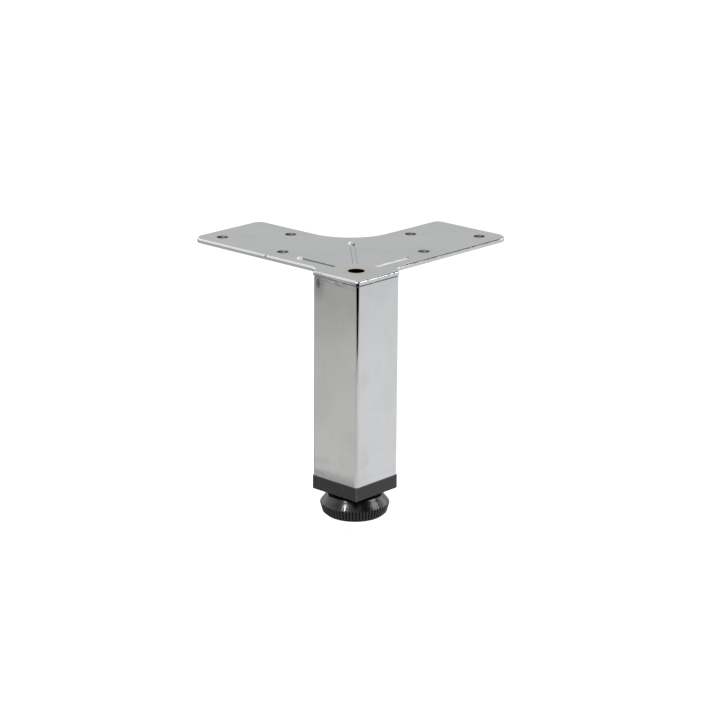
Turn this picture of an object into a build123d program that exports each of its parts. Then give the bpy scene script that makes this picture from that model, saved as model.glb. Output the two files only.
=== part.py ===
"""Square furniture leg: an L-shaped mounting plate, a welded tube and an adjustable foot.

Millimetres, +Z up. The origin is on the tube's axis, in the plate's top face, which lies
against the furniture. The plate's two arms run along +X and +Y, and its corner points
towards -X and -Y.
"""
from build123d import *
import os
from math import sqrt

# Leg tube
tube_side = 35.0
tube_wall = 1.5
tube_corner_radius = 1.8
tube_inside_radius = 0.5
tube_length = 120.0
tube_end_chamfer = 0.6

# Mounting plate
plate_thickness = 2.5
arm_reach = 124.5
arm_width = 58.0
arm_setback = 6.5
tip_outer_radius = 9.0
tip_inner_radius = 5.0
elbow_radius = 30.0
pad_corner_radius = 2.2
shoulder_run = 4.0
shoulder_radius = 7.0
edge_roll = 1.2

# Holes in the plate
centre_hole_diameter = 9.8
screw_hole_diameter = 4.5
countersink_diameter = 7.0
countersink_angle = 90.0
outer_row_inset = 13.0
inner_row_inset = 11.6
tip_hole_inset = 13.5
middle_hole_inset = 38.0
root_hole_inset = 64.0

# Pressed grooves, with a ridge under each
groove_width = 3.0
groove_depth = 0.5
groove_start = 15.0
arm_groove_end = 44.0
arm_groove_offset = 1.6
diagonal_groove_end = 64.0
groove_taper = 25.0
ridge_margin = 1.0
ridge_height = 0.45
ridge_weld_gap = 1.5

# Weld under the plate
weld_leg = 3.0
weld_bulge = 0.35
weld_end_inset = 2.0

# End cap
collar_height = 8.5
collar_overhang = 0.1
collar_corner_radius = 0.9
collar_edge_chamfer = 0.35
plug_length = 20.0
plug_gap = 1.7
plug_wall = 2.5
fin_count = 4
fin_thickness = 1.2
fin_clearance = 0.05
cap_floor = 5.0

# Nut and threaded stud
thread_diameter = 10.0
thread_clearance = 0.05
nut_flats = 17.0
nut_height = 8.0
nut_chamfer = 0.7
stud_hole_clearance = 0.4
stud_reach = 25.0
stud_tip_chamfer = 1.0
stud_head_diameter = 16.0
stud_head_height = 4.0

# Foot
foot_gap = 2.0
foot_height = 13.0
crown_radius = 16.0
neck_radius = 17.5
neck_drop = 2.3
rim_radius = 20.4
rim_drop = 6.1
rim_base_radius = 18.9
band_radius = 18.0
band_height = 1.6
sole_chamfer = 1.1
foot_boss_radius = 10.4
foot_wall_radius = 14.0
foot_pocket_depth = 8.5
foot_boss_recess = 0.5
foot_rib_count = 6
foot_rib_thickness = 1.6
foot_rib_recess = 0.8
foot_head_floor = 3.0
serration_count = 64
serration_depth = 0.55
serration_width = 1.5
serration_overrun = 1.0

# Levels and distances worked out from the sizes above
tube_face = tube_side / 2
tube_inside = tube_side - 2 * tube_wall
arm_outer = arm_setback - tube_face
arm_inner = arm_outer + arm_width
plate_underside = -plate_thickness
tube_bottom = plate_underside - tube_length
cap_bottom = tube_bottom - collar_height
plug_top = tube_bottom + plug_length
nut_bottom = cap_bottom + cap_floor
nut_top = nut_bottom + nut_height
foot_top = cap_bottom - foot_gap
foot_bottom = foot_top - foot_height
thread_radius = thread_diameter / 2
thread_bore_radius = thread_radius + thread_clearance


def nearest(shape_list, x, y):
    """The corner of a sketch that lies nearest to a point."""
    return shape_list.sort_by_distance((x, y, 0))[0]


def arm_hole_places():
    """Screw holes of the arm along +X, then those of the arm along +Y."""
    outer_row = arm_outer + outer_row_inset
    inner_row = arm_inner - inner_row_inset
    places = [
        (arm_reach - tip_hole_inset, outer_row),
        (arm_reach - middle_hole_inset, inner_row),
        (arm_reach - root_hole_inset, outer_row),
    ]
    return places + [(y, x) for x, y in places]


def groove_slots(arm_start, diagonal_start, end_margin, width):
    """Three rounded slots that run outwards: one along each arm and one on the diagonal."""
    arm_end = arm_groove_end + end_margin
    diagonal_end = diagonal_groove_end + end_margin
    arm_middle = (arm_start + arm_end) / 2
    diagonal_middle = (diagonal_start + diagonal_end) / 2 / sqrt(2)
    with Locations((arm_middle, -arm_groove_offset)):
        SlotOverall(arm_end - arm_start, width)
    with Locations((-arm_groove_offset, arm_middle)):
        SlotOverall(arm_end - arm_start, width, rotation=90)
    with Locations((diagonal_middle, diagonal_middle)):
        SlotOverall(diagonal_end - diagonal_start, width, rotation=45)


# Mounting plate: one pressed sheet, cut to an L whose corner pad covers the tube's end
with BuildPart() as mounting_plate:
    with BuildSketch(Plane.XY) as plate_outline:
        with BuildLine():
            Polyline(
                (-tube_face, -tube_face),
                (tube_face, -tube_face),
                (tube_face + shoulder_run, arm_outer),
                (arm_reach, arm_outer),
                (arm_reach, arm_inner),
                (arm_inner, arm_inner),
                (arm_inner, arm_reach),
                (arm_outer, arm_reach),
                (arm_outer, tube_face + shoulder_run),
                (-tube_face, tube_face),
                close=True,
            )
        make_face()
        fillet(nearest(plate_outline.vertices(), arm_inner, arm_inner), elbow_radius)
        for x, y in ((arm_reach, arm_outer), (arm_outer, arm_reach)):
            fillet(nearest(plate_outline.vertices(), x, y), tip_outer_radius)
        for x, y in ((arm_reach, arm_inner), (arm_inner, arm_reach)):
            fillet(nearest(plate_outline.vertices(), x, y), tip_inner_radius)
        for x, y in ((-tube_face, -tube_face), (tube_face, -tube_face), (-tube_face, tube_face)):
            fillet(nearest(plate_outline.vertices(), x, y), pad_corner_radius)
        for x, y in ((tube_face + shoulder_run, arm_outer), (arm_outer, tube_face + shoulder_run)):
            fillet(nearest(plate_outline.vertices(), x, y), shoulder_radius)
    extrude(amount=-plate_thickness)
    fillet(mounting_plate.edges().group_by(Axis.Z)[-1], edge_roll)

    # Ridges pushed out of the underside, clear of the weld
    ridge_start = tube_face + weld_leg + ridge_weld_gap
    ridge_width = groove_width + 2 * ridge_margin
    with BuildSketch(Plane.XY.offset(plate_underside)):
        groove_slots(ridge_start, ridge_start * sqrt(2), ridge_margin, ridge_width)
    extrude(amount=-ridge_height, taper=groove_taper)

    # Grooves pressed into the top
    with BuildSketch(Plane.XY):
        groove_slots(groove_start, groove_start, 0, groove_width)
    extrude(amount=-groove_depth, taper=groove_taper, mode=Mode.SUBTRACT)

    # Screw holes, countersunk from the top, and the round hole over the tube
    with Locations(*arm_hole_places()):
        CounterSinkHole(
            radius=screw_hole_diameter / 2,
            counter_sink_radius=countersink_diameter / 2,
            depth=plate_thickness,
            counter_sink_angle=countersink_angle,
        )
    with Locations((0, 0)):
        Hole(centre_hole_diameter / 2, depth=plate_thickness)

# Leg tube: square, with a small chamfer where it meets the plate
with BuildPart() as leg_tube:
    with BuildSketch(Plane.XY.offset(plate_underside)):
        RectangleRounded(tube_side, tube_side, tube_corner_radius)
    extrude(amount=-tube_length)
    outer_top_edges = leg_tube.edges().group_by(Axis.Z)[-1]
    chamfer(outer_top_edges, tube_end_chamfer)
    with BuildSketch(Plane.XY.offset(plate_underside)):
        RectangleRounded(tube_inside, tube_inside, tube_inside_radius)
    extrude(amount=-tube_length, mode=Mode.SUBTRACT)

# Weld seams: two fillet welds in the corners between the tube's back faces and the arms
weld_start = arm_outer + weld_end_inset
weld_length = tube_face - weld_end_inset - weld_start
weld_plane = Plane(
    origin=(tube_face, weld_start, plate_underside), x_dir=(1, 0, 0), z_dir=(0, 1, 0)
)
with BuildPart() as weld_seams:
    with BuildSketch(weld_plane):
        with BuildLine():
            Line((0, 0), (weld_leg, 0))
            ThreePointArc(
                (weld_leg, 0),
                (weld_leg / 2 + weld_bulge, weld_leg / 2 + weld_bulge),
                (0, weld_leg),
            )
            Line((0, weld_leg), (0, 0))
        make_face()
    extrude(amount=weld_length)
    mirror(about=Plane(origin=(0, 0, 0), z_dir=(1, -1, 0)))

# End cap: a collar under the tube, and a finned plug inside it that holds the nut
with BuildPart() as end_cap:
    collar_side = tube_side + 2 * collar_overhang
    with BuildSketch(Plane.XY.offset(tube_bottom)):
        RectangleRounded(collar_side, collar_side, collar_corner_radius)
    extrude(amount=-collar_height)
    chamfer(end_cap.edges().group_by(Axis.Z)[0], collar_edge_chamfer)
    chamfer(end_cap.edges().group_by(Axis.Z)[-1], collar_edge_chamfer)
    plug_side = tube_inside - 2 * plug_gap
    with BuildSketch(Plane.XY.offset(tube_bottom)):
        Rectangle(plug_side, plug_side)
    extrude(amount=plug_length)
    fin_side = tube_inside - 2 * fin_clearance
    fin_pitch = plug_length / fin_count
    for fin in range(fin_count):
        with BuildSketch(Plane.XY.offset(tube_bottom + (fin + 0.5) * fin_pitch)):
            RectangleRounded(fin_side, fin_side, tube_inside_radius)
        extrude(amount=fin_thickness)
    with BuildSketch(Plane.XY.offset(nut_top)):
        Rectangle(plug_side - 2 * plug_wall, plug_side - 2 * plug_wall)
    extrude(amount=plug_top - nut_top, mode=Mode.SUBTRACT)
    with BuildSketch(Plane.XY.offset(nut_bottom)):
        RegularPolygon(nut_flats / 2, 6, major_radius=False)
    extrude(amount=nut_height, mode=Mode.SUBTRACT)
    with BuildSketch(Plane.XY.offset(cap_bottom)):
        Circle(thread_radius + stud_hole_clearance)
    extrude(amount=cap_floor, mode=Mode.SUBTRACT)

# Captive nut in the plug
with BuildPart() as captive_nut:
    with BuildSketch(Plane.XY.offset(nut_bottom)):
        RegularPolygon(nut_flats / 2, 6, major_radius=False)
    extrude(amount=nut_height)
    chamfer(captive_nut.edges().group_by(Axis.Z)[0], nut_chamfer)
    chamfer(captive_nut.edges().group_by(Axis.Z)[-1], nut_chamfer)
    with BuildSketch(Plane.XY.offset(nut_bottom)):
        Circle(thread_bore_radius)
    extrude(amount=nut_height, mode=Mode.SUBTRACT)

# Adjuster stud: the threaded rod and the round head that the foot is moulded over
head_bottom = foot_bottom + foot_head_floor
head_top = head_bottom + stud_head_height
with BuildPart() as adjuster_stud:
    with BuildSketch(Plane.XY.offset(head_bottom)):
        Circle(stud_head_diameter / 2)
    extrude(amount=stud_head_height)
    with BuildSketch(Plane.XY.offset(head_top)):
        Circle(thread_radius)
    extrude(amount=foot_top + stud_reach - head_top)
    chamfer(adjuster_stud.edges().group_by(Axis.Z)[-1], stud_tip_chamfer)

# Adjuster foot: a turned outline with a flared skirt, a serrated rim and a ribbed underside
rim_top = foot_top - rim_drop
band_top = foot_bottom + band_height
with BuildPart() as adjuster_foot:
    with BuildSketch(Plane.XZ) as foot_outline:
        with BuildLine():
            Polyline(
                (0, foot_top),
                (crown_radius, foot_top),
                (neck_radius, foot_top - neck_drop),
                (rim_radius, rim_top),
                (rim_base_radius, band_top),
                (band_radius, band_top),
                (band_radius, foot_bottom),
                (0, foot_bottom),
                close=True,
            )
        make_face()
        chamfer(nearest(foot_outline.vertices(), band_radius, foot_bottom), sole_chamfer)
    revolve(axis=Axis.Z)

    # Hollow underside between the middle boss and the outer wall, with radial ribs
    with BuildSketch(Plane.XY.offset(foot_bottom)):
        Circle(foot_wall_radius)
        Circle(foot_boss_radius, mode=Mode.SUBTRACT)
    extrude(amount=foot_pocket_depth, mode=Mode.SUBTRACT)
    with BuildSketch(Plane.XY.offset(foot_bottom)):
        Circle(foot_boss_radius)
    extrude(amount=foot_boss_recess, mode=Mode.SUBTRACT)
    with BuildSketch(Plane.XY.offset(foot_bottom + foot_rib_recess)):
        with PolarLocations((foot_boss_radius + foot_wall_radius) / 2, foot_rib_count):
            Rectangle(foot_wall_radius - foot_boss_radius + foot_rib_thickness, foot_rib_thickness)
    extrude(amount=foot_pocket_depth - foot_rib_recess)

    # Seat of the stud's head and the hole for its shank
    with BuildSketch(Plane.XY.offset(head_bottom - thread_clearance)):
        Circle(stud_head_diameter / 2 + thread_clearance)
    extrude(amount=stud_head_height + 2 * thread_clearance, mode=Mode.SUBTRACT)
    with BuildSketch(Plane.XY.offset(head_top)):
        Circle(thread_bore_radius)
    extrude(amount=foot_top - head_top, mode=Mode.SUBTRACT)

    # Serrations down the rim, open at both ends, above a plain band
    rim_slope = Vector(rim_radius - rim_base_radius, 0, rim_top - band_top)
    rim_outward = Vector(rim_top - band_top, 0, rim_base_radius - rim_radius)
    rim_base = Vector(rim_base_radius, 0, band_top)
    cutter_start = rim_base - rim_slope.normalized() * serration_overrun
    cutter_plane = Plane(origin=cutter_start, x_dir=rim_outward, z_dir=rim_slope)
    with BuildPart(mode=Mode.PRIVATE) as serration_cutter:
        with BuildSketch(cutter_plane):
            with BuildLine():
                Polyline(
                    (-serration_depth, 0),
                    (serration_depth, -serration_width),
                    (serration_depth, serration_width),
                    close=True,
                )
            make_face()
        extrude(amount=rim_slope.length + 2 * serration_overrun)
    with PolarLocations(0, serration_count):
        add(serration_cutter.part, mode=Mode.SUBTRACT)

os.makedirs("parts", exist_ok=True)

mounting_plate.part.label = "mounting_plate"
export_step(mounting_plate.part, "parts/mounting_plate.step")
leg_tube.part.label = "leg_tube"
export_step(leg_tube.part, "parts/leg_tube.step")
weld_seams.part.label = "weld_seams"
export_step(weld_seams.part, "parts/weld_seams.step")
end_cap.part.label = "end_cap"
export_step(end_cap.part, "parts/end_cap.step")
captive_nut.part.label = "captive_nut"
export_step(captive_nut.part, "parts/captive_nut.step")
adjuster_stud.part.label = "adjuster_stud"
export_step(adjuster_stud.part, "parts/adjuster_stud.step")
adjuster_foot.part.label = "adjuster_foot"
export_step(adjuster_foot.part, "parts/adjuster_foot.step")
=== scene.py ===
# %% [markdown]
# A furniture leg in bright chrome
#
# The leg is a square chromed tube with an L-shaped mounting plate on top and a black
# screw-adjusted foot below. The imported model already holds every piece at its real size, so
# this lesson gives the pieces their finishes, remakes the two whose surface needs more than
# the solid has (the foot and the stud), and lights them like a small studio. Chrome is mostly
# what it reflects, so the studio matters as much as the material.

# %% Load the model
import math

import bmesh
import bpy
from mathutils import Matrix, Vector


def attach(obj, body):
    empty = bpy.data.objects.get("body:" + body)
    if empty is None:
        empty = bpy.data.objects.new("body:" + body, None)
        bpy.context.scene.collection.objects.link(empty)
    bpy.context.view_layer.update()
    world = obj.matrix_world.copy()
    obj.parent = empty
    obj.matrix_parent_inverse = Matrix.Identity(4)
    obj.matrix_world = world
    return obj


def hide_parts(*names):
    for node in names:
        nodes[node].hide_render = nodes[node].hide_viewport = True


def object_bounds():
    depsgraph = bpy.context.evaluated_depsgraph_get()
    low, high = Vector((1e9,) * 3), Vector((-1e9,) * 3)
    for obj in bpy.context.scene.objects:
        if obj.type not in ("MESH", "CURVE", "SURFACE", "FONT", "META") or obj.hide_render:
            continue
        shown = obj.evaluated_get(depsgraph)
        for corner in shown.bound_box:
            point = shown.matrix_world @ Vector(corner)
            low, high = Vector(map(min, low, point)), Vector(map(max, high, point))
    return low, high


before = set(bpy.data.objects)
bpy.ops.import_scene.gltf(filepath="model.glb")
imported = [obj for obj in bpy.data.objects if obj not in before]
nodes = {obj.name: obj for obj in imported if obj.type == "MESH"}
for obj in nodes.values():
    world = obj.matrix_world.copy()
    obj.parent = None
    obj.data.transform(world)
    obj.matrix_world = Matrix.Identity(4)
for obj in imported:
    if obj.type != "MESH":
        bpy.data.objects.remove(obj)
cad_low, cad_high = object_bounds()
print("CAD box in metres:", tuple(cad_low), tuple(cad_high))

# %% [markdown]
# The camera
#
# The picture was taken from in front of the plate's corner, a little above it, with a long
# lens. The camera is built from those plain facts: the compass heading that it looks along,
# how steeply it looks down, its distance and its focal length. A long lens keeps the tube's
# sides almost parallel.

# %% Camera
VIEW_HEADING = math.radians(42.563)
VIEW_DROP = math.radians(16.983)
VIEW_ROLL = math.radians(0.42)
VIEW_DISTANCE = 1.3772
VIEW_CENTRE = Vector((-0.00921, -0.01183, -0.04842))
LENS_MM = 121.156
SENSOR_MM = 36.0
CLIP_START = 0.05

ahead = Vector((math.cos(VIEW_HEADING), math.sin(VIEW_HEADING), 0))
across = Vector((math.sin(VIEW_HEADING), -math.cos(VIEW_HEADING), 0))
looking = ahead * math.cos(VIEW_DROP) - Vector((0, 0, math.sin(VIEW_DROP)))
upright = across.cross(looking)
camera_right = across * math.cos(VIEW_ROLL) + upright * math.sin(VIEW_ROLL)
camera_up = upright * math.cos(VIEW_ROLL) - across * math.sin(VIEW_ROLL)

bpy.ops.object.camera_add()
camera = bpy.context.active_object
camera.name = "camera"
turn = Matrix((camera_right, camera_up, -looking)).transposed()
camera.matrix_world = Matrix.Translation(VIEW_CENTRE - looking * VIEW_DISTANCE) @ turn.to_4x4()
camera.data.lens = LENS_MM
camera.data.sensor_width = SENSOR_MM
camera.data.clip_start = CLIP_START
bpy.context.scene.camera = camera
print("Camera stands at", tuple(round(value, 3) for value in camera.location))

# %% [markdown]
# Small helpers for modelling
#
# The foot and the stud are modelled as by hand: a first point or ring is added, pulled out
# step by step, and its corners are rounded. Three helpers serve both. One opens a piece for
# editing, one selects what lies where a test says, and one closes the edit.


# %% Modelling helpers
def begin_edit(piece):
    """Makes a piece the only selected object and opens it in edit mode."""
    bpy.ops.object.select_all(action="DESELECT")
    piece.select_set(True)
    bpy.context.view_layer.objects.active = piece
    bpy.ops.object.mode_set(mode="EDIT")
    bpy.ops.mesh.select_mode(type="VERT")


def pick(piece, test):
    """Selects only the vertices whose place passes the test."""
    bpy.ops.mesh.select_all(action="DESELECT")
    mesh = bmesh.from_edit_mesh(piece.data)
    for vertex in mesh.verts:
        if test(vertex.co):
            vertex.select_set(True)
    mesh.select_flush(True)
    bmesh.update_edit_mesh(piece.data)


def end_edit(piece, smooth_degrees):
    """Points every face outwards, closes the edit and smooths the gentle edges."""
    bpy.ops.mesh.select_all(action="SELECT")
    bpy.ops.mesh.normals_make_consistent(inside=False)
    bpy.ops.object.mode_set(mode="OBJECT")
    bpy.ops.object.shade_smooth_by_angle(angle=math.radians(smooth_degrees))
    print(piece.name, "has", len(piece.data.polygons), "faces")


# %% [markdown]
# The foot
#
# The foot is one closed turned outline: it runs from the middle of the seat for the stud's
# head, up through the shank's hole, over the crown, down the flared skirt and the serrated
# rim to the sole, then up and down again through the hollow in the underside to the boss.
# Each corner is a ring: a radius, a height and the width of its rounding. The rings are
# pulled out of one circle. The circle has six points for every serration. One ring low on
# the skirt isn't rounded and adds no corner: it keeps the notches from showing in the
# skirt's shading.

# %% Rings of the foot
SERRATIONS = 64
POINTS_PER_SERRATION = 6
RING_POINTS = POINTS_PER_SERRATION * SERRATIONS
FOOT_TOP = -0.133
FOOT_SOLE = -0.146
BAND_TOP = FOOT_SOLE + 0.0016
RIM_TOP = FOOT_TOP - 0.0061
RIM_RADIUS = 0.0204
RIM_BASE_RADIUS = 0.0189
BAND_RADIUS = 0.0180
CROWN_RADIUS = 0.0160
NECK_RADIUS, NECK_DROP = 0.0175, 0.0023
SKIRT_RADIUS, SKIRT_DROP = 0.01994, 0.0055
SOLE_CHAMFER = 0.0011
HOLLOW_RADIUS = 0.0140
HOLLOW_TOP = FOOT_SOLE + 0.0085
BOSS_RADIUS = 0.0104
BOSS_BOTTOM = FOOT_SOLE + 0.0005
HEAD_RADIUS = 0.008
HEAD_HEIGHT = 0.004
HEAD_BOTTOM = FOOT_SOLE + 0.003
HEAD_TOP = HEAD_BOTTOM + HEAD_HEIGHT
THREAD_RADIUS = 0.005
FIT = 0.00005
CORNER_STEPS = 4

foot_rings = [
    (HEAD_RADIUS + FIT, HEAD_BOTTOM - FIT, 0),
    (HEAD_RADIUS + FIT, HEAD_TOP + FIT, 0),
    (THREAD_RADIUS + FIT, HEAD_TOP + FIT, 0),
    (THREAD_RADIUS + FIT, FOOT_TOP, 0.0003),
    (CROWN_RADIUS, FOOT_TOP, 0.0008),
    (NECK_RADIUS, FOOT_TOP - NECK_DROP, 0.0009),
    (SKIRT_RADIUS, FOOT_TOP - SKIRT_DROP, 0),
    (RIM_RADIUS, RIM_TOP, 0.0004),
    (RIM_BASE_RADIUS, BAND_TOP, 0.0001),
    (BAND_RADIUS, BAND_TOP, 0),
    (BAND_RADIUS, FOOT_SOLE + SOLE_CHAMFER, 0.0004),
    (BAND_RADIUS - SOLE_CHAMFER, FOOT_SOLE, 0.0004),
    (HOLLOW_RADIUS, FOOT_SOLE, 0.0003),
    (HOLLOW_RADIUS, HOLLOW_TOP, 0.0004),
    (BOSS_RADIUS, HOLLOW_TOP, 0.0004),
    (BOSS_RADIUS, BOSS_BOTTOM, 0.0003),
]

radius, height, _ = foot_rings[0]
bpy.ops.object.select_all(action="DESELECT")
bpy.ops.mesh.primitive_circle_add(vertices=RING_POINTS, radius=radius, fill_type="TRIFAN")
foot = bpy.context.active_object
foot.name = "smooth_foot"
begin_edit(foot)
bpy.ops.mesh.select_all(action="SELECT")
bpy.ops.transform.translate(value=(0, 0, height))
pick(foot, lambda place: place.xy.length > radius / 2)
for next_radius, next_height, _ in foot_rings[1:]:
    bpy.ops.mesh.extrude_edges_move()
    scale = next_radius / radius
    bpy.ops.transform.resize(value=(scale, scale, 1), center_override=(0, 0, 0))
    bpy.ops.transform.translate(value=(0, 0, next_height - height))
    radius, height = next_radius, next_height
bpy.ops.mesh.extrude_edges_move()
bpy.ops.mesh.merge(type="CENTER")
print("Rings pulled out:", len(foot_rings))


# %% [markdown]
# Rounding and serrations
#
# A moulded corner is never sharp, so each ring is bevelled by its own width. The serrations
# are then pressed in. Of every six points round the rim, one goes in fully, its neighbours
# part of the way, the next two a little and the last stays out. Each depth is measured from
# a slanted line that runs down the rim. Above the rim that line leaves the skirt, so the
# notches die out there as cut ones do.


# %% Round the corners and press in the serrations
SAME_PLACE = 0.00001


def on_ring(ring_radius, ring_height):
    """A test for the places on a ring."""

    def test(place):
        off = max(abs(place.xy.length - ring_radius), abs(place.z - ring_height))
        return off < SAME_PLACE

    return test


for ring_radius, ring_height, width in foot_rings:
    if width:
        pick(foot, on_ring(ring_radius, ring_height))
        bpy.ops.mesh.bevel(offset=width, segments=CORNER_STEPS, affect="EDGES")

NOTCH_DEPTHS = {0: 0.00055, 1: 0.00031, 5: 0.00031, 2: 0.00007, 4: 0.00007}
RIM_MARGIN = 0.0001
rim_slant = (RIM_RADIUS - RIM_BASE_RADIUS) / (RIM_TOP - BAND_TOP)


def step_round(place):
    """Which point of its serration a place belongs to."""
    turn = math.atan2(place.y, place.x) / (2 * math.pi) * RING_POINTS
    return round(turn) % POINTS_PER_SERRATION


mesh = bmesh.from_edit_mesh(foot.data)
rim_places = {
    (round(v.co.xy.length, 6), round(v.co.z, 6))
    for v in mesh.verts
    if v.co.xy.length > BAND_RADIUS + RIM_MARGIN and v.co.z > BAND_TOP - 2 * RIM_MARGIN
}
for ring_radius, ring_height in sorted(rim_places):
    line = RIM_BASE_RADIUS + rim_slant * (ring_height - BAND_TOP)
    on_this_ring = on_ring(ring_radius, ring_height)
    for depth in sorted(set(NOTCH_DEPTHS.values())):
        goal = line - depth
        if goal < ring_radius:
            pick(
                foot,
                lambda place: on_this_ring(place)
                and NOTCH_DEPTHS.get(step_round(place)) == depth,
            )
            scale = goal / ring_radius
            bpy.ops.transform.resize(value=(scale, scale, 1), center_override=(0, 0, 0))
print("Rim rings pressed in:", len(rim_places))

# %% [markdown]
# Ribs under the foot
#
# Six ribs join the boss to the wall, as in most moulded feet. One block is added for each. It
# is stretched to its size, its edges are rounded, and it is turned and moved to its place,
# with its ends inside the walls.

# %% Ribs under the foot
FOOT_SMOOTH_DEGREES = 28
RIB_COUNT = 6
RIB_LENGTH = 0.0048
RIB_WIDTH = 0.0016
RIB_ROUNDING = 0.0002
RIB_FROM_AXIS = 0.0122
RIB_LOW = FOOT_SOLE + 0.0008
RIB_HIGH = FOOT_SOLE + 0.0088
rib_size = (RIB_LENGTH, RIB_WIDTH, RIB_HIGH - RIB_LOW)
for rib in range(RIB_COUNT):
    angle = 2 * math.pi * rib / RIB_COUNT
    bpy.ops.mesh.select_all(action="DESELECT")
    bpy.ops.mesh.primitive_cube_add(size=1)
    bpy.ops.transform.resize(value=rib_size, center_override=(0, 0, 0))
    bpy.ops.mesh.bevel(offset=RIB_ROUNDING, segments=2, affect="EDGES")
    bpy.ops.transform.rotate(value=-angle, orient_axis="Z", center_override=(0, 0, 0))
    middle = Vector((math.cos(angle), math.sin(angle), 0)) * RIB_FROM_AXIS
    bpy.ops.transform.translate(value=(middle.x, middle.y, (RIB_LOW + RIB_HIGH) / 2))
end_edit(foot, FOOT_SMOOTH_DEGREES)
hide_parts("adjuster_foot")
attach(foot, "foot")

# %% [markdown]
# The stud
#
# The thread is a small tooth outline, one pitch high, that a screw modifier winds upwards.
# Its turns are joined into one skin, and two cuts trim the ends flat. The round head that
# the foot is moulded over goes on below, with its two edges rounded.

# %% Threaded stud
THREAD_PITCH = 0.0015
ROOT_RADIUS = 0.00408
ROOT_HALF = 0.00019
FLANK_RISE = 0.00047
CREST_FLAT = 0.00018
TURNS = 23
STEPS_PER_TURN = 48
STUD_TOP = FOOT_TOP + 0.025
HEAD_POINTS = 96
HEAD_ROUNDING = 0.0003
STUD_SMOOTH_DEGREES = 30

bpy.ops.object.select_all(action="DESELECT")
bpy.ops.mesh.primitive_plane_add(size=0.001)
stud = bpy.context.active_object
stud.name = "threaded_stud"
begin_edit(stud)
bpy.ops.mesh.select_all(action="SELECT")
bpy.ops.mesh.merge(type="CENTER")
bpy.ops.transform.translate(value=(ROOT_RADIUS, 0, HEAD_TOP - 2 * THREAD_PITCH))
tooth = THREAD_RADIUS - ROOT_RADIUS
outline = (
    (0, ROOT_HALF),
    (tooth, FLANK_RISE),
    (0, CREST_FLAT),
    (-tooth, FLANK_RISE),
    (0, ROOT_HALF),
)
for out, up in outline:
    bpy.ops.mesh.extrude_vertices_move(TRANSFORM_OT_translate={"value": (out, 0, up)})
bpy.ops.object.mode_set(mode="OBJECT")
bpy.ops.object.modifier_add(type="SCREW")
winding = stud.modifiers[-1]
winding.screw_offset = THREAD_PITCH
winding.iterations = TURNS
winding.steps = STEPS_PER_TURN
winding.render_steps = STEPS_PER_TURN
winding.use_merge_vertices = True
winding.merge_threshold = SAME_PLACE
bpy.ops.object.modifier_apply(modifier=winding.name)

begin_edit(stud)
bpy.ops.mesh.select_all(action="SELECT")
bpy.ops.mesh.remove_doubles(threshold=2 * SAME_PLACE)
for level, upwards in ((HEAD_TOP, -1), (STUD_TOP, 1)):
    bpy.ops.mesh.select_all(action="SELECT")
    bpy.ops.mesh.bisect(
        plane_co=(0, 0, level),
        plane_no=(0, 0, upwards),
        use_fill=True,
        clear_outer=True,
        threshold=SAME_PLACE / 10,
    )

bpy.ops.mesh.select_all(action="DESELECT")
bpy.ops.mesh.primitive_cylinder_add(
    vertices=HEAD_POINTS,
    radius=HEAD_RADIUS,
    depth=HEAD_HEIGHT,
    location=(0, 0, HEAD_BOTTOM + HEAD_HEIGHT / 2),
)
for level in (HEAD_BOTTOM, HEAD_TOP):
    pick(stud, on_ring(HEAD_RADIUS, level))
    bpy.ops.mesh.bevel(offset=HEAD_ROUNDING, segments=3, affect="EDGES")
end_edit(stud, STUD_SMOOTH_DEGREES)
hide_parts("adjuster_stud")
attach(stud, "stud")

# %% [markdown]
# Small helpers for materials
#
# Every finish below is a node tree. The helpers keep the cells short. Some add one node in a
# single call: noise, bump, a smooth step, plain arithmetic. Others build the masks that the
# marks need from them: a strip between two limits, a soft oval, a distance from a point. The
# last two start a material with a Principled shader and give it to a piece.

# %% Material helpers
HALF_SOFT_EDGE = 0.00005
OVAL_EDGE = (1.15, 0.85)
IN_PLAN = (1, 1, 0)
UP = (0, 0, 1)


def add_node(tree, kind, settings=None, **inputs):
    """A new node with its properties from settings and its sockets from inputs."""
    node = tree.nodes.new(kind)
    for name, value in (settings or {}).items():
        setattr(node, name, value)
    for name, value in inputs.items():
        socket = node.inputs[name.replace("_", " ")]
        if isinstance(value, bpy.types.NodeSocket):
            tree.links.new(value, socket)
        else:
            socket.default_value = value
    return node


def step(tree, value, start, end, low=0.0, high=1.0):
    """A smooth change from low to high while value goes from start to end."""
    node = add_node(tree, "ShaderNodeMapRange", {"interpolation_type": "SMOOTHSTEP"}, Value=value)
    for name, number in (("From Min", start), ("From Max", end), ("To Min", low), ("To Max", high)):
        node.inputs[name].default_value = number
    return node.outputs["Result"]


def sums(tree, operation, *values):
    """Plain arithmetic on sockets or numbers."""
    node = tree.nodes.new("ShaderNodeMath")
    node.operation = operation
    for socket, value in zip(node.inputs, values):
        if isinstance(value, bpy.types.NodeSocket):
            tree.links.new(value, socket)
        else:
            socket.default_value = value
    return node.outputs["Value"]


def product(tree, *values):
    """All the masks multiplied."""
    result = values[0]
    for value in values[1:]:
        result = sums(tree, "MULTIPLY", result, value)
    return result


def largest(tree, *values):
    """The largest of the masks."""
    result = values[0]
    for value in values[1:]:
        result = sums(tree, "MAXIMUM", result, value)
    return result


def noise(tree, place, scale, detail, distortion=0.0):
    """The grey value of a noise texture."""
    texture = add_node(tree, "ShaderNodeTexNoise", Vector=place, Scale=scale, Detail=detail)
    texture.inputs["Distortion"].default_value = distortion
    return texture.outputs["Fac"]


def stretched(tree, place, scale):
    """The place with each axis scaled."""
    return add_node(tree, "ShaderNodeMapping", Vector=place, Scale=scale).outputs["Vector"]


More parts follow.
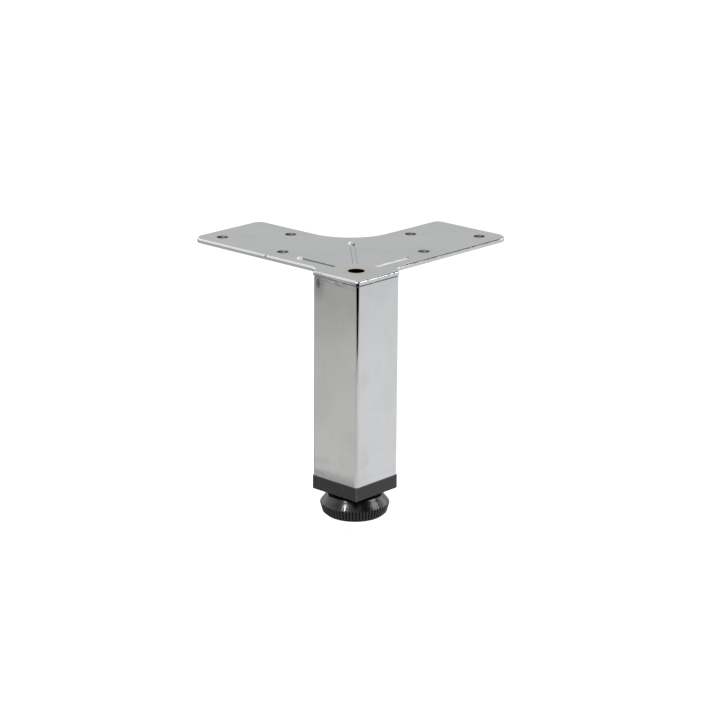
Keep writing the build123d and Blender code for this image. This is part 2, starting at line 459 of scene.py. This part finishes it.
def relief(tree, height, strength, depth, base=None):
    """The normal of a bumpy surface, on top of another such normal where one is given."""
    bump = add_node(tree, "ShaderNodeBump", Height=height, Strength=strength, Distance=depth)
    if base:
        tree.links.new(base, bump.inputs["Normal"])
    return bump.outputs["Normal"]


def along(tree, place, direction):
    """How far a place lies in a direction."""
    node = tree.nodes.new("ShaderNodeVectorMath")
    node.operation = "DOT_PRODUCT"
    tree.links.new(place, node.inputs[0])
    node.inputs[1].default_value = direction
    return node.outputs["Value"]


def between(tree, value, low, high):
    """One between two limits and nought outside, with soft ends of a tenth of a millimetre."""
    return sums(
        tree,
        "MULTIPLY",
        step(tree, value, low - HALF_SOFT_EDGE, low + HALF_SOFT_EDGE),
        step(tree, value, high + HALF_SOFT_EDGE, high - HALF_SOFT_EDGE),
    )


def oval(tree, place, centre, half_wide, half_deep):
    """A soft spot round a point, with its width across the view and its depth along it."""
    squares = []
    for direction, half in ((across, half_wide), (ahead, half_deep)):
        middle = direction.dot(Vector(centre))
        offset = sums(tree, "SUBTRACT", along(tree, place, direction), middle)
        share = sums(tree, "ABSOLUTE", sums(tree, "DIVIDE", offset, half))
        squares.append(sums(tree, "POWER", share, 2))
    return step(tree, sums(tree, "ADD", *squares), *OVAL_EDGE)


def distance_to(tree, place, point, stretch=(1, 1, 1)):
    """Distance from a point, with each axis stretched for an oval."""
    offset = place
    for operation, amount in (("SUBTRACT", point), ("MULTIPLY", stretch)):
        node = add_node(tree, "ShaderNodeVectorMath", {"operation": operation})
        tree.links.new(offset, node.inputs[0])
        node.inputs[1].default_value = amount
        offset = node.outputs["Vector"]
    length = add_node(tree, "ShaderNodeVectorMath", {"operation": "LENGTH"})
    tree.links.new(offset, length.inputs[0])
    return length.outputs["Value"]


def tint(tree, fac, base, color):
    """A colour that goes from base, a socket or a colour, to another by a factor."""
    node = add_node(tree, "ShaderNodeMix", {"data_type": "RGBA"})
    tree.links.new(fac, node.inputs["Factor"])
    if isinstance(base, bpy.types.NodeSocket):
        tree.links.new(base, node.inputs[6])
    else:
        node.inputs[6].default_value = (*base, 1)
    node.inputs[7].default_value = (*color, 1)
    return node.outputs[2]


def start_material(name, color, roughness, metallic=0.0):
    """A material whose Principled shader has these plain values."""
    material = bpy.data.materials.new(name)
    material.use_nodes = True
    shader = material.node_tree.nodes["Principled BSDF"]
    shader.inputs["Base Color"].default_value = (*color, 1)
    shader.inputs["Roughness"].default_value = roughness
    shader.inputs["Metallic"].default_value = metallic
    return material, material.node_tree, shader


def paint(piece, material):
    """Gives every slot of a piece the same material."""
    if not piece.data.materials:
        piece.data.materials.append(material)
    for index in range(len(piece.data.materials)):
        piece.data.materials[index] = material


# %% [markdown]
# Chrome
#
# Chrome plating is a mirror with a slightly cool grey tone. A perfect mirror looks false, so
# the fine faults of the real plating are added: the sheet's slow waviness, polishing haze,
# faint clouds and wipe marks, and the short ripples that grinding leaves on edges. Other
# marks are local: the yellowish heat ring round the middle hole, matt metal in the
# countersinks, grinding strokes just below the seam under the plate, a smudge on the tube, a
# nick in the plate's edge and thin streaks at the tube's lower end. Light and shade are
# painted in places too: painted shade in the countersinks with painted dark reflections at
# their sides, a dark line of painted shade in the seam under the plate, and painted shade on
# the pressed grooves' dark sides with painted highlights on their bright sides and ends. All
# of them use object coordinates, so they stay on the metal.

# %% Tones and places of the marks
CHROME_TONE = (0.592, 0.606, 0.611)
# The countersinks' colour is painted darker as shade, with painted dark reflections at their sides.
COUNTERSINK_SHADE_TONE = (0.16, 0.16, 0.16)
DARK_REFLECTION_TONE = (0.03, 0.03, 0.03)
# Painted shade in the pressed grooves.
GROOVE_SHADE_TONE = (0.14, 0.14, 0.14)
HEAT_TONE = (0.63, 0.55, 0.40)
# The colour of the painted shade in the seam and of the grinding strokes.
SHADE_AND_STROKE_TONE = (0.22, 0.22, 0.23)
CLOUD_TONE = (0.30, 0.33, 0.36)
# Painted highlight on the pressed grooves.
GROOVE_HIGHLIGHT_TONE = (0.8, 0.8, 0.8)
SMUDGE_TONE = (0.09, 0.09, 0.09)
CHROME_ROUGHNESS = 0.08
DULL_ROUGHNESS = 0.55
LIT_NORMAL = (0, -0.34, 0.94)
CLOUD_SHARE, WIPE_SHARE, STREAK_SHARE = 0.14, 0.06, 0.11

SCREW_HOLES = ((0.111, 0.002), (0.0865, 0.0354), (0.0605, 0.002))
HEAT_RING_EDGE = (0.0105, 0.0066)
COUNTERSINK_EDGE = (0.0036, 0.0034)
TUBE_FACE = (0.0168, 0.0172)
SEAM_BELOW_TOP = 0.0028
STROKES_ALONG, STROKES_ACROSS = (0, 140, 25), (0, -260, 1450)
SMUDGE_PLACE, SMUDGE_STRETCH = (-0.0175, 0.0132, -0.0064), (0, 1, 0.55)
NICK_PLACE = (-0.0108, 0.062, -0.0004)

SIDE_GROOVE_LENGTH = (0.0148, 0.0442)
MIDDLE_GROOVE_LENGTH = (0.0148, 0.0642)
MIDDLE_GROOVE_HALF = 0.0017
# The grooves' painted shade and painted highlights lie between these limits and round these spots.
LEFT_GROOVE_SHADE = (-0.0033, 0.0001)
RIGHT_GROOVE_HIGHLIGHT = (-0.0016, 0.0001)
DIAGONAL = 0.7071
GROOVE_SPOTS = {
    "left_highlight": ((-0.0018, 0.0430, 0), 0.0016, 0.0032),
    "right_highlight": ((0.0405, -0.0016, 0), 0.0008, 0.0020),
    "right_shade": ((0.0430, -0.0016, 0), 0.0008, 0.0020),
    "middle_highlight": ((0.0445, 0.0463, 0), 0.0009, 0.0032),
    "middle_shade": ((0.0438, 0.0427, 0), 0.0009, 0.0026),
}


# %% Marks and painted light in the chrome
def groove_shade_and_highlights(tree, place, facing_up):
    """Masks of the painted shade on the grooves' dark sides and of the painted highlights on their
    bright sides and ends.
    """
    parts = add_node(tree, "ShaderNodeSeparateXYZ", Vector=place)
    x, y, z = parts.outputs["X"], parts.outputs["Y"], parts.outputs["Z"]
    on_top = step(tree, z, -0.0008, -0.0006)
    sunk = product(tree, step(tree, z, -0.00002, -0.00008), on_top)
    side = step(tree, facing_up, 0.96, 0.85)
    left = product(
        tree, between(tree, x, *LEFT_GROOVE_SHADE), between(tree, y, *SIDE_GROOVE_LENGTH), side
    )
    right = product(
        tree, between(tree, y, *RIGHT_GROOVE_HIGHLIGHT), between(tree, x, *SIDE_GROOVE_LENGTH), sunk
    )
    out = along(tree, place, (DIAGONAL, DIAGONAL, 0))
    aside = along(tree, place, (DIAGONAL, -DIAGONAL, 0))
    middle = product(
        tree,
        between(tree, aside, -MIDDLE_GROOVE_HALF, MIDDLE_GROOVE_HALF),
        between(tree, out, *MIDDLE_GROOVE_LENGTH),
        step(tree, sums(tree, "ABSOLUTE", aside), 0.0010, 0.0012),
    )
    spots = {name: oval(tree, place, *spot) for name, spot in GROOVE_SPOTS.items()}
    # Painted shade on the grooves' dark sides and ends, painted highlights on their bright sides
    # and ends.
    shaded_ends = largest(tree, spots["right_shade"], spots["middle_shade"])
    highlight_ends = largest(tree, spots["left_highlight"], spots["right_highlight"], spots["middle_highlight"])
    dark = product(tree, sunk, largest(tree, left, middle))
    dark = largest(tree, dark, product(tree, on_top, shaded_ends))
    lit = largest(tree, product(tree, on_top, highlight_ends), right)
    return dark, lit


def hole_stain_and_shade(tree, place, leaning, color):
    """The heat ring, and the countersinks' painted shade and painted dark reflections: the colour,
    and the countersink mask that also makes their metal rough.
    """
    ring = product(
        tree,
        step(tree, distance_to(tree, place, (0, 0, 0), IN_PLAN), *HEAT_RING_EDGE),
        step(tree, noise(tree, place, 420.0, 3.0), 0.3, 0.55, 0.35, 0.9),
    )
    color = tint(tree, ring, color, HEAT_TONE)
    nearest = None
    for x, y in SCREW_HOLES:
        for spot in ((x, y, 0), (y, x, 0)):
            far = distance_to(tree, place, spot, IN_PLAN)
            nearest = far if nearest is None else sums(tree, "MINIMUM", nearest, far)
    # Painted shade in the countersinks and, where they lean across the view, painted dark
    # reflections; the same mask makes their metal rough.
    dull_and_shaded = step(tree, nearest, *COUNTERSINK_EDGE)
    reflection_lobes = step(tree, leaning, 0.2, 0.5)
    color = tint(tree, dull_and_shaded, color, COUNTERSINK_SHADE_TONE)
    return tint(tree, product(tree, dull_and_shaded, reflection_lobes), color, DARK_REFLECTION_TONE), dull_and_shaded


def seam_shade_and_strokes(tree, place, facing_up, on_face, color):
    """A dark line of painted shade under the plate, and the grinding strokes below it."""
    height = along(tree, place, UP)
    from_seam = sums(tree, "ABSOLUTE", sums(tree, "ADD", height, SEAM_BELOW_TOP))
    # A dark line of painted shade along the seam where the plate meets the tube.
    seam = product(
        tree,
        step(tree, from_seam, 0.00045, 0.0002),
        step(tree, noise(tree, place, 260.0, 2.0), 0.35, 0.6, 0.3, 1.0),
        step(tree, facing_up, -0.8, -0.5),
        step(tree, along(tree, place, (0, 1, 0)), 0.0, 0.012, 1.0, 0.4),
    )
    color = tint(tree, seam, color, SHADE_AND_STROKE_TONE)
    grid = add_node(tree, "ShaderNodeCombineXYZ")
    tree.links.new(along(tree, place, STROKES_ALONG), grid.inputs["X"])
    tree.links.new(along(tree, place, STROKES_ACROSS), grid.inputs["Y"])
    ground = product(
        tree,
        on_face,
        step(tree, noise(tree, grid.outputs["Vector"], 1.0, 2.0), 0.45, 0.62, 0.0, 0.7),
        step(tree, height, -0.0075, -0.0035),
        step(tree, height, -0.0012, -0.0018),
        step(tree, facing_up, 0.3, 0.1),
    )
    return tint(tree, ground, color, SHADE_AND_STROKE_TONE)


def wear_marks(tree, place, on_face, color):
    """The smudge and the nick, then the clouds, wipe marks and streaks."""
    from_smudge = distance_to(tree, place, SMUDGE_PLACE, SMUDGE_STRETCH)
    smudge = largest(
        tree,
        step(tree, from_smudge, 0.0026, 0.0008, 0.0, 0.85),
        step(tree, from_smudge, 0.0075, 0.0015, 0.0, 0.35),
    )
    color = tint(tree, product(tree, smudge, on_face), color, SMUDGE_TONE)
    nick = step(tree, distance_to(tree, place, NICK_PLACE), 0.0009, 0.0004)
    color = tint(tree, nick, color, SMUDGE_TONE)

    clouds = step(tree, noise(tree, place, 28.0, 2.0), 0.42, 0.68, 0.0, CLOUD_SHARE)
    color = tint(tree, clouds, color, CLOUD_TONE)
    drawn = stretched(tree, place, (1, 1, 0.45))
    wipes = step(tree, noise(tree, drawn, 150.0, 4.0), 0.5, 0.68, 0.0, WIPE_SHARE)
    color = tint(tree, wipes, color, CLOUD_TONE)

    contours = noise(tree, stretched(tree, place, (1, 1, 4)), 26.0, 0.0, 0.8)
    from_crest = sums(tree, "ABSOLUTE", sums(tree, "SUBTRACT", contours, 0.5))
    crest = step(tree, from_crest, 0.07, 0.0)
    low = step(tree, along(tree, place, UP), -0.095, -0.112, 0.0, STREAK_SHARE)
    return tint(tree, product(tree, crest, low), color, CLOUD_TONE)


# %% Chrome
def chrome_material():
    """The mirror with its marks, its painted shade and highlights, its haze, and its waves and
    ripples.
    """
    material, tree, shader = start_material(
        "polished_chrome", CHROME_TONE, CHROME_ROUGHNESS, metallic=1.0
    )
    coordinates = add_node(tree, "ShaderNodeTexCoord").outputs
    place, normal = coordinates["Object"], coordinates["Normal"]
    facing_up = along(tree, normal, UP)
    leaning = sums(tree, "ABSOLUTE", along(tree, normal, across))
    on_face = step(tree, along(tree, place, (-1, 0, 0)), *TUBE_FACE)
    color, dull_and_shaded = hole_stain_and_shade(tree, place, leaning, CHROME_TONE)
    color = seam_shade_and_strokes(tree, place, facing_up, on_face, color)
    color = wear_marks(tree, place, on_face, color)
    dark, lit = groove_shade_and_highlights(tree, place, facing_up)
    # Painted shade and painted highlights on the pressed grooves.
    color = tint(tree, lit, tint(tree, dark, color, GROOVE_SHADE_TONE), GROOVE_HIGHLIGHT_TONE)
    tree.links.new(color, shader.inputs["Base Color"])
    haze = step(tree, noise(tree, place, 90.0, 5.0), 0.35, 0.7, 0.05, 0.13)
    roughness = largest(tree, haze, sums(tree, "MULTIPLY", dull_and_shaded, DULL_ROUGHNESS))
    tree.links.new(roughness, shader.inputs["Roughness"])

    waves = relief(tree, noise(tree, place, 38.0, 1.0), 0.04, 0.002)
    on_roll = product(tree, step(tree, facing_up, 0.05, 0.3), step(tree, facing_up, 0.99, 0.9))
    from_axis = distance_to(tree, place, (0, 0, 0), IN_PLAN)
    strength = product(tree, on_roll, step(tree, from_axis, 0.027, 0.024, 0.18, 0.3))
    ripples = relief(tree, noise(tree, place, 320.0, 2.0), strength, 0.0006, waves)
    # Where the highlights are painted, the normal also leans to LIT_NORMAL.
    leant = add_node(tree, "ShaderNodeMix", {"data_type": "VECTOR"})
    tree.links.new(lit, leant.inputs["Factor"])
    tree.links.new(ripples, leant.inputs[4])
    leant.inputs[5].default_value = LIT_NORMAL
    tree.links.new(leant.outputs[1], shader.inputs["Normal"])
    return material


chrome = chrome_material()
for name in ("mounting_plate", "leg_tube", "weld_seams"):
    paint(nodes[name], chrome)

# %% [markdown]
# Plastics and zinc
#
# The end cap is satin charcoal plastic with a fine moulded grain, a thin violet line along its
# top edge and a painted highlight, broken by the grain, along its front corner. The foot is a
# harder, glossy black whose serrations are duller in their valleys. The stud and the nut are
# plain zinc-plated steel.

# %% Plastics and zinc
CAP_TONE = (0.01, 0.01, 0.011)
CAP_DARK_TONE = (0.002, 0.002, 0.002)
CAP_PALE_TONE = (0.014, 0.014, 0.015)
CAP_LINE_TONE = (0.045, 0.036, 0.095)
# Painted highlight on the cap's front corner.
CAP_EDGE_HIGHLIGHT_TONE = (0.10, 0.10, 0.10)
FOOT_TONE = (0.004, 0.004, 0.005)
FOOT_GLOSS, RIM_LOSS, VALLEY_LOSS = 0.5, -0.1, -0.36
ZINC_TONE = (0.6, 0.61, 0.63)


def cap_material():
    """Charcoal plastic with a grain, a line along its top and a painted highlight on its front
    corner.
    """
    material, tree, shader = start_material("charcoal_plastic", CAP_TONE, 0.45)
    place = add_node(tree, "ShaderNodeTexCoord").outputs["Object"]
    grain = noise(tree, place, 1100.0, 2.0)
    color = tint(tree, step(tree, grain, 0.35, 0.65), CAP_DARK_TONE, CAP_PALE_TONE)
    top_line = step(tree, along(tree, place, UP), -0.1231, -0.1228)
    color = tint(tree, top_line, color, CAP_LINE_TONE)
    # A painted highlight along the front corner, broken by the grain.
    corner = step(tree, along(tree, place, (-DIAGONAL, -DIAGONAL, 0)), 0.0243, 0.0245)
    edge_highlight = product(tree, corner, step(tree, grain, 0.35, 0.6, 0.3, 1.0))
    tree.links.new(tint(tree, edge_highlight, color, CAP_EDGE_HIGHLIGHT_TONE), shader.inputs["Base Color"])
    tree.links.new(relief(tree, grain, 0.35, 0.0002), shader.inputs["Normal"])
    return material


def foot_material():
    """Glossy black plastic that is duller on the rim and dullest in its valleys."""
    material, tree, shader = start_material("black_gloss_plastic", FOOT_TONE, 0.16)
    place = add_node(tree, "ShaderNodeTexCoord").outputs["Object"]
    flow = noise(tree, place, 60.0, 1.0)
    tree.links.new(relief(tree, flow, 0.1, 0.001), shader.inputs["Normal"])
    sheen = step(tree, flow, 0.35, 0.65, 0.15, 0.22)
    tree.links.new(sheen, shader.inputs["Roughness"])
    height = along(tree, place, UP)
    line_start = RIM_BASE_RADIUS - rim_slant * BAND_TOP
    rim_line = sums(tree, "MULTIPLY_ADD", height, rim_slant, line_start)
    sunken = sums(tree, "SUBTRACT", rim_line, distance_to(tree, place, (0, 0, 0), IN_PLAN))
    on_rim = step(tree, height, RIM_TOP + 0.0003, RIM_TOP - 0.0001)
    valley = product(tree, on_rim, step(tree, sunken, 0.00008, 0.0004))
    gloss = sums(tree, "MULTIPLY_ADD", on_rim, RIM_LOSS, FOOT_GLOSS)
    gloss = sums(tree, "MULTIPLY_ADD", valley, VALLEY_LOSS, gloss)
    tree.links.new(gloss, shader.inputs["Specular IOR Level"])
    return material


def zinc_material():
    """Zinc-plated steel with a fine spangle."""
    material, tree, shader = start_material("zinc_steel", ZINC_TONE, 0.3, metallic=1.0)
    place = add_node(tree, "ShaderNodeTexCoord").outputs["Object"]
    spangle = noise(tree, place, 700.0, 3.0)
    tree.links.new(relief(tree, spangle, 0.1, 0.0002), shader.inputs["Normal"])
    return material


paint(nodes["end_cap"], cap_material())
paint(foot, foot_material())
zinc = zinc_material()
paint(nodes["captive_nut"], zinc)
paint(stud, zinc)

# %% [markdown]
# The floor
#
# A wide pale floor takes the shadow. It lies just below the place that the foot reaches when
# it is screwed all the way out. In the chrome it has to look as a lit table does: bright
# under the leg, fading and a little warmer to the left, shaded in one place beside the leg
# and dark past its front edge. Only mirror rays see that. The camera sees an even white
# floor.

# %% Floor
FLOOR_SIZE = 8.0
FOOT_TRAVEL = 0.0125
TABLE_TONE = (0.26, 0.26, 0.26)
TABLE_ROUGHNESS = 0.8
TABLE_LIFT = 0.9
SHADE = -0.36
WARM_SIDE = (1.0, 0.975, 0.94)
COOL_SIDE = (1.0, 0.99, 0.995)
floor_level = cad_low.z - FOOT_TRAVEL

bpy.ops.object.select_all(action="DESELECT")
bpy.ops.mesh.primitive_plane_add(size=FLOOR_SIZE, location=(0, 0, floor_level))
floor = bpy.context.active_object
floor.name = "floor"


def floor_material():
    """A plain pale table to the camera and a lit one, with its fades, to mirror rays."""
    material, tree, shader = start_material("white_table", TABLE_TONE, TABLE_ROUGHNESS)
    shader.inputs["Specular IOR Level"].default_value = 0.0
    place = add_node(tree, "ShaderNodeTexCoord").outputs["Object"]
    sideways = along(tree, place, across)
    frontwards = along(tree, place, -ahead)
    pool = sums(
        tree,
        "ADD",
        step(tree, sideways, -0.54, -0.34, 0.60, 0.77),
        step(tree, sideways, -0.23, 0.10, 0.0, 0.23),
    )
    far_right = step(tree, sideways, 0.34, 0.50, 1.0, 0.94)
    near = step(tree, frontwards, 0.07, 0.16, 1.0, 0.87)
    edge = step(tree, frontwards, 0.345, 0.415, 1.0, 0.0)
    close = step(tree, along(tree, place, (1, 0, 0)), -0.102, -0.096)
    beside = step(tree, along(tree, place, (0, 1, 0)), 0.0, 0.01)
    shaded = sums(tree, "MULTIPLY_ADD", product(tree, close, beside), SHADE, 1.0)
    level = product(tree, pool, far_right, near, edge, shaded)
    warmth = tint(tree, step(tree, sideways, -0.12, 0.0), WARM_SIDE, COOL_SIDE)
    mirrored = add_node(tree, "ShaderNodeEmission", Strength=level, Color=warmth)

    lift = add_node(tree, "ShaderNodeEmission", Strength=TABLE_LIFT)
    lit = add_node(tree, "ShaderNodeAddShader")
    tree.links.new(shader.outputs["BSDF"], lit.inputs[0])
    tree.links.new(lift.outputs["Emission"], lit.inputs[1])
    path = add_node(tree, "ShaderNodeLightPath")
    by_camera = add_node(tree, "ShaderNodeMixShader", Fac=path.outputs["Is Camera Ray"])
    tree.links.new(shader.outputs["BSDF"], by_camera.inputs[1])
    tree.links.new(lit.outputs["Shader"], by_camera.inputs[2])
    by_mirror = add_node(tree, "ShaderNodeMixShader", Fac=path.outputs["Is Glossy Ray"])
    tree.links.new(by_camera.outputs["Shader"], by_mirror.inputs[1])
    tree.links.new(mirrored.outputs["Emission"], by_mirror.inputs[2])
    output = tree.nodes["Material Output"]
    tree.links.new(by_mirror.outputs["Shader"], output.inputs["Surface"])
    return material


paint(floor, floor_material())

# %% [markdown]
# The studio
#
# The room is a sky that only light and reflections see, while the camera sees plain white.
# Each line along the plate's rolled edges is a piece of that room: a bright wall on the left
# that dims towards its far end, a dark one on the right above a pale strip, and a pale
# backdrop behind. A bright panel low on the right, behind the leg, gives the foot its glow.
# Straight above, the room is dim. Each wall is two masks and the light that it adds to the
# backdrop's or takes from it.

# %% Studio walls
BACKDROP = 0.67
HIGH_BACKDROP = 0.5
LEFT_WALL = 0.72
FAR_LEFT = -0.45
RIGHT_WALL = -0.8
RIGHT_STRIP = 0.35
CEILING = -0.3
PANEL = 1.9
DARKEST = 0.05
SEEN_BY_CAMERA = 1.0


def studio_world():
    """The room round the leg, as light and mirrors see it."""
    world = bpy.data.worlds.new("studio")
    bpy.context.scene.world = world
    world.use_nodes = True
    tree = world.node_tree
    background = tree.nodes["Background"]
    direction = add_node(tree, "ShaderNodeTexCoord").outputs["Generated"]
    height = along(tree, direction, UP)
    left = along(tree, direction, -across)
    right = along(tree, direction, across)
    behind = along(tree, direction, ahead)
    above_floor = step(tree, height, -0.02, 0.12)
    high_behind = product(tree, step(tree, height, 0.33, 0.5), step(tree, behind, 0.1, 0.4))
    not_aside = product(tree, step(tree, left, 0.35, 0.15), step(tree, right, 0.5, 0.3))
    low_or_behind = largest(tree, step(tree, height, 0.65, 0.5), step(tree, behind, 0.1, 0.3))
    left_wall = product(tree, step(tree, left, 0.1, 0.45), low_or_behind)
    panel_height = product(tree, step(tree, height, 0.12, 0.25), step(tree, height, 0.59, 0.53))
    right_panel = product(tree, step(tree, right, 0.45, 0.65), panel_height)
    walls = [
        (high_behind, not_aside, HIGH_BACKDROP),
        (above_floor, left_wall, LEFT_WALL),
        (above_floor, step(tree, left, 0.9, 0.955), FAR_LEFT),
        (step(tree, height, 0.22, 0.34), step(tree, right, 0.2, 0.42), RIGHT_WALL),
        (step(tree, height, 0.35, 0.2), step(tree, right, 0.35, 0.8), RIGHT_STRIP),
        (step(tree, height, 0.8, 0.95), 1.0, CEILING),
        (step(tree, behind, 0.20, 0.28), right_panel, PANEL),
    ]
    room = BACKDROP
    for mask_a, mask_b, strength in walls:
        share = sums(tree, "MULTIPLY", mask_a, mask_b)
        room = sums(tree, "MULTIPLY_ADD", share, strength, room)
    room = sums(tree, "MAXIMUM", room, DARKEST)
    path = add_node(tree, "ShaderNodeLightPath")
    seen = add_node(tree, "ShaderNodeMix", {"data_type": "FLOAT"})
    tree.links.new(path.outputs["Is Camera Ray"], seen.inputs["Factor"])
    tree.links.new(room, seen.inputs[2])
    seen.inputs[3].default_value = SEEN_BY_CAMERA
    tree.links.new(seen.outputs[0], background.inputs["Strength"])
    background.inputs["Color"].default_value = (1, 1, 1, 1)


studio_world()

# %% [markdown]
# Lamps
#
# One narrow box hangs above, in front and to the left. It gives the foot its thin highlight.
# A broad, weaker box on the right adds to the glow on the foot's right side.


# %% Lamps
def soft_box(name, place, width, length, power):
    """An area lamp at place that faces the foot."""
    bpy.ops.object.light_add(type="AREA", location=place)
    lamp = bpy.context.active_object
    lamp.name = name
    lamp.data.shape = "RECTANGLE"
    lamp.data.size = width
    lamp.data.size_y = length
    lamp.data.energy = power
    lamp.visible_camera = False
    facing = (Vector((0, 0, floor_level)) - Vector(place)).to_track_quat("-Z", "Y")
    lamp.matrix_world = Matrix.Translation(place) @ facing.to_matrix().to_4x4()


TOP_BOX = {"width": 0.08, "length": 0.25, "power": 4.4}
SIDE_BOX = {"width": 0.4, "length": 0.4, "power": 3.0}
foot_place = Vector((0, 0, FOOT_TOP))
top_way = -across * 0.42 - ahead * 0.42 + Vector((0, 0, 0.806))
side_way = across * 0.76 - ahead * 0.02 + Vector((0, 0, 0.65))
soft_box("top_box", foot_place + top_way, **TOP_BOX)
soft_box("side_box", foot_place + side_way, **SIDE_BOX)

# %% [markdown]
# Wrap up
#
# The colours should come out as written, so the view transform is plain.

# %% Finish
bpy.context.scene.view_settings.view_transform = "Standard"
